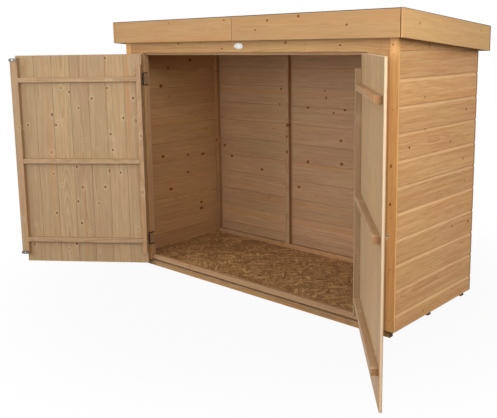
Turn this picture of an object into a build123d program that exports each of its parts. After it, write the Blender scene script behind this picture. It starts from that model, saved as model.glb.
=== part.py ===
from build123d import *
import math
import os

# Timber pent bike shelter with double doors, in millimetres.
# X runs along the front, -Y is the front, +Z is up.
# The origin is the middle of the footprint, on the ground.

# Body
body_width = 1880.0
body_depth = 762.0
wall_bottom = 35.0
board = 12.0                # cladding, header, front panels and door boards
frame = 28.0                # side of the square frame timbers
stop_depth = 22.0           # depth of the sill and header rail that the doors stop against
batten_place = 284.0        # from the middle to each batten on the back wall

# Base
bearer_height = 29.0
bearer_width = 28.0
bearer_inset = 28.0         # from the outer face of a side wall to a bearer's end
floor_thickness = 11.0
floor_setback = 9.0         # of the floor's front edge behind the face of the sill

# Front
panel_width = 160.0         # from the corner to the door opening
trim_width = 45.0
header_drop = 180.0         # from the roof's front edge to the header board's bottom
header_gap = 6.0            # between the doors and the header board
door_bottom = 22.0
header_overlap = 8.0        # how far the header rail hangs behind the doors

# Roof
roof_height = 1480.0        # top of the front fascia
roof_pitch = 4.8            # degrees, falling to the back
overhang_front = 52.0
overhang_side = 50.0
overhang_back = 23.0
roof_board = 11.0
felt = 2.0
fascia_height = 121.0
fascia_thickness = 12.0
fascia_seam = 3.0           # between the front fascia's ends and the side fascias
badge_width = 64.0
badge_height = 31.0
badge_thickness = 3.0
badge_rise = 32.0           # from the header board's bottom to the badge's middle

# Doors
swing_gap = 5.0             # between moving timber and what it closes against
meeting_gap = 5.0           # between the two doors when closed
ledge = 28.0                # side of the square ledges
ledge_inset = 145.0         # from a door's ends to the middle of its outer ledges
hinge_stile_width = 28.0
hinge_stile_inset = 65.0    # from a door's ends to the ends of its hinge stile
meeting_stile_width = 44.0
meeting_overhang = 23.0     # of the meeting stile past the left door's boards
stile_end_gap = 7.0         # from the meeting stile's ends to sill and header rail
ledge_end_gap = 6.0         # between the right ledges and the closed meeting stile
left_angle = 143.3          # how far each door stands open
right_angle = 129.3

# Hinges
hinge_inset = 148.0         # from a door's ends to the middle of its hinges
hinge_length = 65.0
leaf_thickness = 2.0
leaf_width = 40.0           # from the axis to a leaf's far edge
knuckle_radius = 4.5
knuckle_gap = 0.5           # between the barrels of one hinge
hinge_pin_radius = 2.2
pin_clearance = 0.3
axis_proud = 5.0            # from the door's face to the hinge axis

# Turn buttons
button_length = 50.0
button_width = 18.0
button_thickness = 3.0
button_standoff = 5.0
button_boss_radius = 7.0
button_end_offset = 10.0    # from a stile's end to a button's screw
screw_radius = 2.4
screw_depth = 16.0
screw_head_radius = 5.0
screw_head_height = 2.5
bore_clearance = 0.3
seat_gap = 0.3              # between a turning piece and what holds it

# Sliding bolt on the right door, and its keep on the left one
bolt_rise = 14.0            # above the middle of the door
bolt_edge_gap = 5.0         # from a door's free edge to its plate
bolt_plate_length = 100.0
bolt_plate_width = 28.0
bolt_plate_thickness = 2.0
bolt_radius = 4.0
bolt_clearance = 0.3        # in the guides
keep_clearance = 1.0        # in the keep
bolt_metal = 1.5            # thickness of guides and keep around the bar
guide_length = 12.0
guide_spacing = 59.0        # from one guide to the other, near face to near face
guide_end_gap = 3.0         # from the plate's end to the first guide
keep_length = 10.0
bolt_travel = 22.0
bolt_setback = 1.0          # from the plate's end to the drawn bar's tip
bolt_tail = 1.0             # of the shot bar past the far guide
knob_gap = 27.0             # from the first guide to the drawn knob's middle
knob_stem_radius = 2.5
knob_radius = 4.5
knob_reach = 16.0           # from the bar's axis to the knob's end
knob_length = 6.0

# Derived places
left_face = -body_width / 2
front_face = -body_depth / 2
back_face = body_depth / 2
frame_front = front_face + board
frame_back = back_face - board
stop_back = frame_front + stop_depth
rail_back = frame_back - frame
wall_inner = left_face + board
post_inner = wall_inner + frame
trim_inner = left_face + trim_width
opening_left = left_face + panel_width
floor_top = bearer_height + floor_thickness
sill_top = floor_top + frame
header_bottom = roof_height - header_drop
door_top = header_bottom - header_gap
door_middle = (door_bottom + door_top) / 2
ledge_heights = (door_bottom + ledge_inset, door_middle, door_top - ledge_inset)
hinge_heights = (door_bottom + hinge_inset, door_top - hinge_inset)
hinge_stile_bottom = door_bottom + hinge_stile_inset
hinge_stile_top = door_top - hinge_stile_inset
bolt_z = door_middle + bolt_rise
rail_bottom = door_top - header_overlap
slope = math.tan(math.radians(roof_pitch))
roof_front = front_face - overhang_front
roof_back = back_face + overhang_back
roof_left = left_face - overhang_side
fascia_inner = roof_left + fascia_thickness
board_back = frame_front - swing_gap
board_front = board_back - board
stile_back = board_back + ledge
axis_y = board_front - axis_proud
axis_x = opening_left + swing_gap / 2
door_left = opening_left + swing_gap
door_right = -meeting_gap / 2
stile_bottom = sill_top + stile_end_gap
stile_top = rail_bottom - stile_end_gap
stile_edge = door_right + meeting_overhang
button_x = stile_edge - meeting_stile_width / 2
bolt_start = -door_right + bolt_edge_gap
bolt_y = board_front - bolt_plate_thickness - bolt_radius - keep_clearance
first_guide = bolt_start + guide_end_gap
second_guide = first_guide + guide_spacing
button_heights = (stile_bottom + button_end_offset, stile_top - button_end_offset)


def roof_line(y, drop):
    """Height at y of a line that lies the drop below the roof's top edge."""
    return roof_height - slope * (y - roof_front) - drop


def block(x0, x1, y0, y1, z0, z1):
    """A box between two corners."""
    middle = Pos((x0 + x1) / 2, (y0 + y1) / 2, (z0 + z1) / 2)
    return middle * Box(x1 - x0, y1 - y0, z1 - z0)


def side_profile(x0, x1, points):
    """A closed outline in Y and Z, made solid from x0 to x1."""
    outline = make_face(Polyline(*[(x0, y, z) for y, z in points], close=True))
    return extrude(outline, amount=x1 - x0, dir=(1, 0, 0))


def upright(x0, x1, y0, y1, z0, drop=roof_board):
    """A piece with a level bottom and a top that follows the roof."""
    top = [(y1, roof_line(y1, drop)), (y0, roof_line(y0, drop))]
    return side_profile(x0, x1, [(y0, z0), (y1, z0)] + top)


def slanted(x0, x1, y0, y1, drop, height):
    """A piece of even height that follows the roof."""
    low = [(y, roof_line(y, drop + height)) for y in (y0, y1)]
    high = [(y, roof_line(y, drop)) for y in (y1, y0)]
    return side_profile(x0, x1, low + high)


def rod(start, end, radius):
    """A round bar between two points."""
    run = Vector(*end) - Vector(*start)
    return extrude(Plane(start, z_dir=run) * Circle(radius), amount=run.length)


def other_side(shape):
    return mirror(shape, about=Plane.YZ)


def both(shape):
    """The same piece at the left and at the right, as two solids of one node."""
    return Compound([shape, other_side(shape)])


def pair(name, shape):
    """The same piece at the left and at the right."""
    return {f"left_{name}": shape, f"right_{name}": other_side(shape)}


def base_parts():
    parts = {}
    end = left_face + bearer_inset
    rows = {
        "front": frame_front,
        "middle": -bearer_width / 2,
        "back": frame_back - bearer_width,
    }
    for name, y in rows.items():
        parts[f"bearer_{name}"] = block(end, -end, y, y + bearer_width, 0, bearer_height)
    parts["floor_board"] = block(
        wall_inner, -wall_inner, frame_front + floor_setback, frame_back,
        bearer_height, floor_top,
    )
    parts["sill"] = block(
        opening_left, -opening_left, frame_front, stop_back, floor_top, sill_top
    )
    return parts


def cladding_parts():
    side = upright(left_face, wall_inner, frame_front, frame_back, wall_bottom)
    trim = upright(left_face, trim_inner, front_face, frame_front, wall_bottom)
    panel = block(
        trim_inner, opening_left, front_face, frame_front, wall_bottom, header_bottom
    )
    panel = without_leaves(panel, opening_left - leaf_thickness, opening_left)
    return {
        **pair("wall", side),
        "back_wall": upright(left_face, -left_face, frame_back, back_face, wall_bottom),
        **pair("corner_trim", trim),
        **pair("front_panel", panel),
        "header_board": upright(
            trim_inner, -trim_inner, front_face, frame_front, header_bottom
        ),
    }


def leaf_pocket(x0, x1, height):
    """The space of one hinge leaf in the timber beside it."""
    half = hinge_length / 2
    return block(x0, x1, axis_y, axis_y + leaf_width, height - half, height + half)


def without_leaves(timber, x0, x1):
    """Timber with a recess for each leaf of a door's hinges."""
    for height in hinge_heights:
        timber -= leaf_pocket(x0, x1, height)
    return timber


def frame_parts():
    post_back = frame_front + frame
    front_post = upright(wall_inner, post_inner, frame_front, post_back, floor_top)
    back_post = upright(wall_inner, post_inner, rail_back, frame_back, floor_top)
    jamb = block(
        opening_left - frame, opening_left, frame_front, post_back, floor_top, rail_bottom
    )
    jamb = without_leaves(jamb, opening_left - leaf_thickness, opening_left)
    side_rail = slanted(wall_inner, post_inner, post_back, rail_back, roof_board, frame)
    low_rail_top = floor_top + frame
    top_rail_bottom = roof_line(frame_back, roof_board + frame)
    batten = block(
        -batten_place - frame / 2, -batten_place + frame / 2, rail_back, frame_back,
        low_rail_top, top_rail_bottom,
    )
    return {
        **pair("jamb", jamb),
        "corner_posts": both(Compound([front_post, back_post])),
        "side_top_rails": both(side_rail),
        "back_battens": both(batten),
        "header_rail": upright(post_inner, -post_inner, frame_front, stop_back, rail_bottom),
        "back_bottom_rail": block(
            post_inner, -post_inner, rail_back, frame_back, floor_top, low_rail_top
        ),
        "back_top_rail": upright(
            post_inner, -post_inner, rail_back, frame_back, top_rail_bottom
        ),
    }


def roof_parts():
    front_inner = roof_front + fascia_thickness
    back_inner = roof_back - fascia_thickness
    front_bottom = roof_height - fascia_height
    back_bottom = roof_line(roof_back, fascia_height)
    side = slanted(roof_left, fascia_inner, roof_front, back_inner, 0, fascia_height)
    front_end = fascia_inner + fascia_seam
    oval = extrude(Ellipse(badge_width / 2, badge_height / 2), amount=badge_thickness)
    badge_place = Pos(0, front_face, header_bottom + badge_rise) * Rot(90, 0, 0)
    return {
        "roof_board": slanted(
            fascia_inner, -fascia_inner, front_inner, back_inner, 0, roof_board
        ),
        "roof_felt": slanted(roof_left, -roof_left, roof_front, roof_back, -felt, felt),
        "front_fascia_left": upright(
            front_end, 0, roof_front, front_inner, front_bottom, 0
        ),
        "front_fascia_right": upright(
            0, -front_end, roof_front, front_inner, front_bottom, 0
        ),
        "back_fascia": upright(roof_left, -roof_left, back_inner, roof_back, back_bottom, 0),
        **pair("fascia", side),
        "badge": badge_place * oval,
    }


def barrel(radius, z0, z1):
    return rod((axis_x, axis_y, z0), (axis_x, axis_y, z1), radius)


def barrel_space(z0, z1):
    """What one half of a hinge leaves free for a barrel of the other."""
    reach = knuckle_radius + knuckle_gap
    return block(axis_x - reach, axis_x + reach, axis_y - reach, axis_y + reach, z0, z1)


def hinge_halves(height):
    """The jamb's leaf with the pin, and the door's leaf, of a closed left hinge."""
    low, high = height - hinge_length / 2, height + hinge_length / 2
    third = hinge_length / 3
    middle_low, middle_high = low + third, high - third
    fixed = leaf_pocket(opening_left - leaf_thickness, opening_left, height)
    fixed += barrel(knuckle_radius, low, high)
    fixed -= barrel_space(middle_low - knuckle_gap, middle_high + knuckle_gap)
    fixed += barrel(hinge_pin_radius, low, high)
    moving = leaf_pocket(door_left, door_left + leaf_thickness, height)
    moving -= barrel_space(low, middle_low) + barrel_space(middle_high, high)
    moving += barrel(knuckle_radius, middle_low, middle_high)
    moving -= barrel(hinge_pin_radius + pin_clearance, low, high)
    return fixed, moving


def hinge_sets():
    """All jamb leaves and all door leaves of a closed left door."""
    halves = [hinge_halves(height) for height in hinge_heights]
    return Compound([half[0] for half in halves]), Compound([half[1] for half in halves])


def door_timber(ledge_end):
    """Boards, hinge stile and ledges of a closed left door."""
    stile_inner = door_left + hinge_stile_width
    leaf_inner = door_left + leaf_thickness
    boards = block(door_left, door_right, board_front, board_back, door_bottom, door_top)
    stile = block(
        door_left, stile_inner, board_back, stile_back, hinge_stile_bottom, hinge_stile_top
    )
    return {
        "door_boards": without_leaves(boards, door_left, leaf_inner),
        "hinge_stile": without_leaves(stile, door_left, leaf_inner),
        "ledges": Compound([
            block(stile_inner, ledge_end, board_back, stile_back, z - ledge / 2, z + ledge / 2)
            for z in ledge_heights
        ]),
    }


def meeting_stile():
    """The left door's stile, stepped back where the right door's boards lie over it."""
    stile = block(
        stile_edge - meeting_stile_width, stile_edge, board_back, stile_back,
        stile_bottom, stile_top,
    )
    stile -= block(
        door_right, stile_edge, board_back, board_back + swing_gap, stile_bottom, stile_top
    )
    for z in button_heights:
        stile -= rod((button_x, stile_back - screw_depth, z), (button_x, stile_back, z),
                     screw_radius)
    return stile


def turn_button(z):
    """An oval plate on a boss, bored for its screw."""
    face = stile_back + button_standoff
    outline = Plane((button_x, face, z), x_dir=(1, 0, 0), z_dir=(0, 1, 0))
    straight = button_length - button_width
    plate = extrude(outline * SlotCenterToCenter(straight, button_width),
                    amount=button_thickness)
    start = (button_x, stile_back + seat_gap, z)
    plate += rod(start, (button_x, face, z), button_boss_radius)
    outer = (button_x, face + button_thickness, z)
    return plate - rod(start, outer, screw_radius + bore_clearance)


def button_screw(z):
    head = stile_back + button_standoff + button_thickness + seat_gap
    shank = rod((button_x, stile_back - screw_depth, z), (button_x, head, z), screw_radius)
    return shank + rod((button_x, head, z), (button_x, head + screw_head_height, z),
                       screw_head_radius)


def bolt_sleeve(x0, length, clearance):
    """A guide or keep that holds the bar against its plate."""
    bore = bolt_radius + clearance
    outer = bore + bolt_metal
    face = board_front - bolt_plate_thickness
    sleeve = rod((x0, bolt_y, bolt_z), (x0 + length, bolt_y, bolt_z), outer)
    sleeve += block(x0, x0 + length, bolt_y, face, bolt_z - outer, bolt_z + outer)
    return sleeve, rod((x0, bolt_y, bolt_z), (x0 + length, bolt_y, bolt_z), bore)


def backing_plate(x0, length):
    half = bolt_plate_width / 2
    face = board_front - bolt_plate_thickness
    return block(x0, x0 + length, face, board_front, bolt_z - half, bolt_z + half)


def bolt_plate():
    plate = backing_plate(bolt_start, bolt_plate_length)
    for x in (first_guide, second_guide):
        sleeve, bore = bolt_sleeve(x, guide_length, bolt_clearance)
        plate = plate + sleeve - bore
    return plate


def bolt_keep():
    x0 = door_right - bolt_edge_gap - keep_length
    sleeve, bore = bolt_sleeve(x0, keep_length, keep_clearance)
    return backing_plate(x0, keep_length) + sleeve - bore


def bolt_bar():
    """The drawn bar with its knob."""
    tip = bolt_start + bolt_setback
    tail = second_guide + guide_length + bolt_travel + bolt_tail
    x = first_guide + guide_length + knob_gap
    bar = rod((tip, bolt_y, bolt_z), (tail, bolt_y, bolt_z), bolt_radius)
    end = bolt_y - knob_reach
    bar += rod((x, bolt_y, bolt_z), (x, end, bolt_z), knob_stem_radius)
    return bar + rod((x, end, bolt_z), (x, end + knob_length, bolt_z), knob_radius)


def swung(shape, x, angle):
    """A closed door's piece, turned about the hinge axis at x."""
    return Pos(x, axis_y, 0) * Rot(0, 0, angle) * Pos(-x, -axis_y, 0) * shape


def door_parts():
    fixed_leaves, moving_leaves = hinge_sets()
    left = door_timber(stile_edge - meeting_stile_width)
    left["hinge_leaves"] = moving_leaves
    left["meeting_stile"] = meeting_stile()
    right = door_timber(-stile_edge - ledge_end_gap)
    right["hinge_leaves"] = moving_leaves
    parts = {"jamb_leaves": both(fixed_leaves)}
    for name, shape in left.items():
        parts[f"left_{name}"] = swung(shape, axis_x, -left_angle)
    for name, shape in right.items():
        parts[f"right_{name}"] = swung(other_side(shape), -axis_x, right_angle)
    for name, z in zip(("lower", "upper"), button_heights):
        parts[f"{name}_turn_button"] = swung(turn_button(z), axis_x, -left_angle)
    screws = Compound([button_screw(z) for z in button_heights])
    parts["button_screws"] = swung(screws, axis_x, -left_angle)
    parts["bolt_keep"] = swung(bolt_keep(), axis_x, -left_angle)
    parts["bolt_plate"] = swung(bolt_plate(), -axis_x, right_angle)
    parts["bolt_bar"] = swung(bolt_bar(), -axis_x, right_angle)
    return parts


os.makedirs("parts", exist_ok=True)
shelter = base_parts() | cladding_parts() | frame_parts() | roof_parts() | door_parts()
for name, shape in shelter.items():
    export_step(shape, f"parts/{name}.step")
print("left hinge axis", axis_x, axis_y)
print("button axes, closed door", button_x, stile_back, button_heights)
print("bolt axis, closed door", bolt_start, bolt_y, bolt_z)
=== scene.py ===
import math
import random
import bmesh
import bpy
from mathutils import Matrix, Vector


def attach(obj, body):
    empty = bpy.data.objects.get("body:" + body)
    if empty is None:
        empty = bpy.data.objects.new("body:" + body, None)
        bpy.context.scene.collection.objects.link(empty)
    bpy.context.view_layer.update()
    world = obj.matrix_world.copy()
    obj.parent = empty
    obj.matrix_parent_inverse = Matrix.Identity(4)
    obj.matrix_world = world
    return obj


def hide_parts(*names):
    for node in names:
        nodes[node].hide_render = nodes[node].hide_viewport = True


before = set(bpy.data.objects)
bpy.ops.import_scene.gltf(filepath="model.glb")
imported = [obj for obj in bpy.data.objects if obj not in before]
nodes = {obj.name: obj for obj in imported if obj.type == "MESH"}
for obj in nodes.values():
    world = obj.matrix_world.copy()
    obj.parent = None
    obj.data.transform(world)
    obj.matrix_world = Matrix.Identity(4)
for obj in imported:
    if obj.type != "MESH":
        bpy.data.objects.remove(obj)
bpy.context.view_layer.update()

# Directions
UP, OVER, DEEP, FRONT = (0, 0, 1), (1, 0, 0), (0, 1, 0), (0, -1, 0)
SIDES = (("left", -1), ("right", 1))

# Places of the solids, in millimetres
SIDE = 940.0  # outer face of a side wall
FACE = 381.0  # outer face of front and back
BOARD = 12.0  # thickness of cladding
TIMBER = 28.0  # side of the frame's square timbers
INNER = SIDE - BOARD
FRAME_FACE = FACE - BOARD
WALL_FOOT = 35.0
FLOOR_TOP = 40.0
SILL_TOP = 68.0
STOP_DEPTH = 22.0
OPENING = 780.0  # half the width between the jambs
TRIM_EDGE = 895.0
HEADER_FOOT = 1300.0
RAIL_FOOT = 1286.0
BATTEN = 284.0  # from the middle of the back wall to that of each batten
BEARER = (28.0, 29.0)  # width and height
BEARER_END = 912.0
ROOF_TOP = 1480.0
ROOF_FRONT = -433.0
ROOF_BACK = 404.0
ROOF_SIDE = 990.0
FASCIA_END = 974.0  # of the front fascias, at a seam
FASCIA_SEAM = 0.9  # from the middle to each front fascia
FALL = math.tan(math.radians(4.8))
ROOF_BOARD = 11.0
FASCIA = (12.0, 121.0)  # thickness and height
FELT = 2.0

# Doors, placed as the closed left door, which the right one mirrors
AXIS = (-777.5, -391.0)  # of the left door's hinges
OPEN_LEFT, OPEN_RIGHT = -143.3, 129.3  # degrees that the doors stand open
DOOR = (-775.0, -2.5)  # from the hinge side to the free edge
DOOR_FOOT, DOOR_TOP = 22.0, 1294.0
DOOR_FRONT, DOOR_BACK = -386.0, -374.0
LEDGES = (167.0, 658.0, 1149.0)  # heights of their middles
HINGES = (170.0, 1146.0)
HINGE_LENGTH, LEAF = 65.0, 2.0  # leaf thickness
LEAF_SCREWS = ((-23, -377), (0, -361), (23, -377))  # up from a hinge's middle, and y
SLIT, SLIT_DEPTH = 7.0, 14.0  # that the chisel left above and below a leaf
STILE = (87.0, 1229.0)
STILE_WIDTH = 28.0
MEETING = (-23.5, 20.5)  # the upright on the left door's free edge
MEETING_ENDS = (75.0, 1279.0)
MEETING_GAP = 5.0  # between that upright and the right door's boards
LEDGE_GAP = 6.0  # between that upright and the right door's ledges

BOLT_HEIGHT = 672.0
BOLT_PLATE, BOLT_KEEP = (-16.5, -75.5), (-12.5,)  # x of their screws
BADGE_SIZE = (64.0, 31.0)
BADGE_HEIGHT = 1332.0

# Stock
SHIPLAP = 118.5  # cover of one wall board
SHIPLAP_START = -0.5  # foot of the lowest wall board before it is cut
TRIMMED = 1180.0  # side wall boards with their foot above this are cut to the roof
DOOR_BOARDS = 7
RING = 3.4  # from one growth ring to the next
ARRIS = 1.6  # taken off the edges of planed timber
FREE = (-5.0, 500.0)  # limits across a board that cut nothing off
SUNK = 5.0  # a cut further in than this takes the cut colour, which is painted shade where that is dark
FIRM = 0.9  # darkness of a knot that shows in the photo

# Radius and rise of the fasteners' heads, and how deep the recess in each is
NAIL = (2.6, 0.5, 0.0)
CLOUT = (4.5, 0.7, 0.0)
SCREW = (3.4, 0.6, 1.6)
BOLT_SCREW = (2.8, 0.6, 1.4)

# Camera, in metres and radians, and the photo in pixels
EYE = (2.5237, -3.0335, 1.3449)
YAW, PITCH, ROLL = 0.7525, -0.1642, -0.0162
PHOTO = (497, 418)
CENTRE = (246.26, 159.83)  # where the camera's axis meets the photo
FOCAL = 702.76  # in pixels
SENSOR = 36.0  # in millimetres


def roof_at(y, drop=0.0):
    """Height of the roof's upper face over y, or of what lies a drop below it."""
    return ROOF_TOP - FALL * (y - ROOF_FRONT) - drop


# Settings that many nodes share
COLOURS = {"out": 2, "data_type": "RGBA"}
SMOOTH = {"interpolation_type": "SMOOTHSTEP"}


def linear(code):
    """A colour written as sRGB hex, as the shader needs it."""
    parts = [int(code[i:i + 2], 16) / 255 for i in (1, 3, 5)]
    return [c / 12.92 if c <= 0.04045 else ((c + 0.055) / 1.055) ** 2.4 for c in parts] + [1.0]


def add(tree, kind, inputs=(), out=0, **settings):
    """One shader node with its settings and links. A kind may end in a colon and its
    operation. Gives the named output."""
    kind, _, operation = kind.partition(":")
    node = tree.nodes.new("ShaderNode" + kind)
    if operation:
        node.operation = operation
    for key, value in settings.items():
        setattr(node, key, value)
    for key, value in inputs.items() if isinstance(inputs, dict) else enumerate(inputs):
        if isinstance(value, bpy.types.NodeSocket):
            tree.links.new(value, node.inputs[key])
        elif value is not None:
            node.inputs[key].default_value = value
    return node.outputs[out] if node.outputs else None


def blank(name):
    """A new material and its empty node tree."""
    material = bpy.data.materials.new(name)
    material.use_nodes = True
    material.node_tree.nodes.clear()
    return material, material.node_tree


def softwood(name, early, late, knot="#7A4420", rim="#4A2814", bare=None, rings=0.3,
             fibres=0.3, streaks=0.34, rough=0.6, relief=0.3, halo="#C98B4E", cut="#8F6238",
             hollow_highlight=None, soaked=(0.0004, 0.0016)):
    """Spruce or pine. Growth rings run round the heart of the log that each board was cut
    from, and give way around every knot. The bare colours are those of the wood behind the
    soaked depths, in metres from the back face, which the stain didn't reach. The hollow
    highlight colour is painted highlight in a cladding board's hollow, where light from above
    catches it. The cut colour is that of end grain and of faces sunk deep in a slit; a near-black
    one is painted shade there."""
    material, t = blank(name)
    grain, knot_at, log = (add(t, "Attribute", out="Vector", attribute_name=label)
                           for label in ("grain", "knot", "log"))
    end, firm = (add(t, "Attribute", out="Fac", attribute_name=label)
                 for label in ("end", "firm"))
    x, y, z = add(t, "SeparateXYZ", [grain]).node.outputs
    kx, ky, kr = add(t, "SeparateXYZ", [knot_at]).node.outputs
    heart_across, heart_depth, tone = add(t, "SeparateXYZ", [log]).node.outputs
    # Distance from the knot as a share of its radius, with a ragged edge
    wander = add(t, "TexNoise", {"Vector": grain, "Scale": 70.0, "Detail": 2.0})
    dx = add(t, "Math:SUBTRACT", [x, kx])
    dy = add(t, "Math:SUBTRACT", [y, ky])
    across = add(t, "Math:MULTIPLY", [dy, dy])
    along = add(t, "Math:MULTIPLY", [dx, dx])
    squared = add(t, "Math:MULTIPLY_ADD", [along, 0.6, across])
    far = add(t, "Math:SQRT", [squared])
    ragged = add(t, "Math:MULTIPLY_ADD", [wander, 0.004, -0.002])
    reach = add(t, "Math:ADD", [far, ragged])
    share = add(t, "Math:DIVIDE", [reach, kr])
    # Distance from the log's heart, slowly wandering and pushed aside near the knot
    half = add(t, "Math:MULTIPLY", [share, 0.42])
    half2 = add(t, "Math:MULTIPLY", [half, half])
    minus = add(t, "Math:MULTIPLY", [half2, -1.0])
    near = add(t, "Math:EXPONENT", [minus])
    pull = add(t, "Math:MULTIPLY", [dy, near])
    bent = add(t, "Math:SUBTRACT", [y, pull])
    slow_at = add(t, "CombineXYZ", [x, heart_depth, heart_across])
    slow = add(t, "TexNoise", {"Vector": slow_at, "Scale": 1.4, "Detail": 1.0})
    # Noise drawn out along the grain: waves of the rings, fibres, streaks and resin veins.
    # The first two numbers are its repeats in a metre, along and across. Fibres are drawn
    # 3 mm apart, coarser than real ones, so that they show.
    noises = []
    for length, width, detail in ((7.0, 20.0, 2.0), (12.0, 300.0, 4.0), (2.6, 62.0, 3.0),
                                  (0.5, 26.0, 2.0)):
        at = add(t, "VectorMath:MULTIPLY", [grain, (length, width, width)])
        noises.append(add(t, "TexNoise", {"Vector": at, "Scale": 1.0, "Detail": detail}))
    waves, fibre, streak0, vein = noises
    depth0 = add(t, "Math:ADD", [z, heart_depth])
    depth = add(t, "Math:MULTIPLY_ADD", [slow, 0.04, depth0])
    off = add(t, "Math:SUBTRACT", [bent, heart_across])
    off2 = add(t, "Math:MULTIPLY", [off, off])
    radius2 = add(t, "Math:MULTIPLY_ADD", [depth, depth, off2])
    radius = add(t, "Math:SQRT", [radius2])
    waved = add(t, "Math:MULTIPLY_ADD", [waves, 0.004, radius])
    # Each ring darkens slowly towards its late wood and ends sharply
    count = add(t, "Math:MULTIPLY", [waved, 1000.0 / RING])
    year = add(t, "Math:FRACT", [count])
    rise = add(t, "MapRange", [year, 0.3, 0.85, 0.0, 1.0], **SMOOTH)
    drop = add(t, "MapRange", [year, 0.88, 1.0, 0.0, 1.0], **SMOOTH)
    latewood = add(t, "Math:SUBTRACT", [rise, drop])
    # Tone, then bare wood, resin, knots and end grain over it
    fine = add(t, "MapRange", [fibre, 0.34, 0.66, 0.0, 1.0])
    streak = add(t, "MapRange", [streak0, 0.34, 0.66, 0.0, 1.0])
    cloud = add(t, "TexNoise", {"Vector": grain, "Scale": 2.2, "Detail": 3.0})
    start = 0.47 - 0.5 * (fibres + streaks)
    shade = add(t, "Math:MULTIPLY_ADD", [latewood, rings, start])
    shade = add(t, "Math:MULTIPLY_ADD", [fine, fibres, shade])
    shade = add(t, "Math:MULTIPLY_ADD", [streak, streaks, shade], use_clamp=True)
    body = add(t, "Mix", {0: shade, 6: linear(early), 7: linear(late)}, **COLOURS)
    if hollow_highlight:
        # Painted highlight: the hollow under each lip, which faces up, is drawn paler where light
        # from above catches it
        sunk = add(t, "MapRange", [z, 0.0119, 0.0112, 0.0, 0.2])
        above = add(t, "MapRange", [z, 0.0060, 0.0065, 0.0, 1.0])
        thin = add(t, "Math:MULTIPLY", [sunk, above])
        body = add(t, "Mix", {0: thin, 6: body, 7: linear(hollow_highlight)}, **COLOURS)
    if bare:
        raw = add(t, "MapRange", [z, *soaked, 1.0, 0.0], **SMOOTH)
        inside = add(t, "Mix", {0: shade, 6: linear(bare[0]), 7: linear(bare[1])}, **COLOURS)
        body = add(t, "Mix", {0: raw, 6: body, 7: inside}, **COLOURS)
    amber = add(t, "MapRange", [vein, 0.52, 0.72, 0.0, 0.5], **SMOOTH)
    pale = add(t, "Math:MULTIPLY", [near, 0.4])
    for over, colour in ((amber, "#BC8147"), (pale, halo)):
        body = add(t, "Mix", {0: over, 6: body, 7: linear(colour)}, **COLOURS)
    turned = add(t, "Math:MULTIPLY_ADD", [cloud, 0.03, 0.485])
    body = add(t, "HueSaturation", {"Hue": turned, "Value": tone, "Color": body})
    in_knot = add(t, "MapRange", [share, 1.12, 0.88, 0.0, 1.0], **SMOOTH)
    knot_year = add(t, "Math:MULTIPLY", [reach, 520.0])
    knot_ring = add(t, "Math:FRACT", [knot_year])
    knot_mix = add(t, "Math:MULTIPLY", [knot_ring, 0.5])
    eye = add(t, "Mix", {0: knot_mix, 6: linear(knot), 7: linear(rim)}, **COLOURS)
    shown = add(t, "Math:MULTIPLY", [in_knot, firm])
    body = add(t, "Mix", {0: shown, 6: body, 7: eye}, **COLOURS)
    edge_in = add(t, "MapRange", [share, 0.72, 0.98, 0.0, 1.0], **SMOOTH)
    edge_out = add(t, "MapRange", [share, 1.02, 1.35, 1.0, 0.0], **SMOOTH)
    edge = add(t, "Math:MULTIPLY", [edge_in, edge_out])
    edge_mix = add(t, "Math:MULTIPLY", [edge, firm])
    # End grain, and faces sunk deep in a slit, take the cut colour; a near-black one is painted
    # shade in slits and seams
    end_grain_and_shade = add(t, "Math:MULTIPLY", [end, 0.75])
    for over, colour in ((edge_mix, rim), (end_grain_and_shade, cut)):
        body = add(t, "Mix", {0: over, 6: body, 7: linear(colour)}, **COLOURS)
    # Gloss and relief
    sheen = add(t, "Math:MULTIPLY_ADD", [fibre, 0.18, rough - 0.09])
    height = add(t, "Math:MULTIPLY_ADD", [latewood, 0.45, fibre])
    height = add(t, "Math:MULTIPLY_ADD", [in_knot, 0.6, height])
    normal = add(t, "Bump", {"Strength": relief, "Distance": 0.0008, "Height": height})
    shader = add(t, "BsdfPrincipled", {
        "Base Color": body, "Roughness": sheen, "Normal": normal, "Specular IOR Level": 0.35})
    add(t, "OutputMaterial", {"Surface": shader})
    return material


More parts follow.
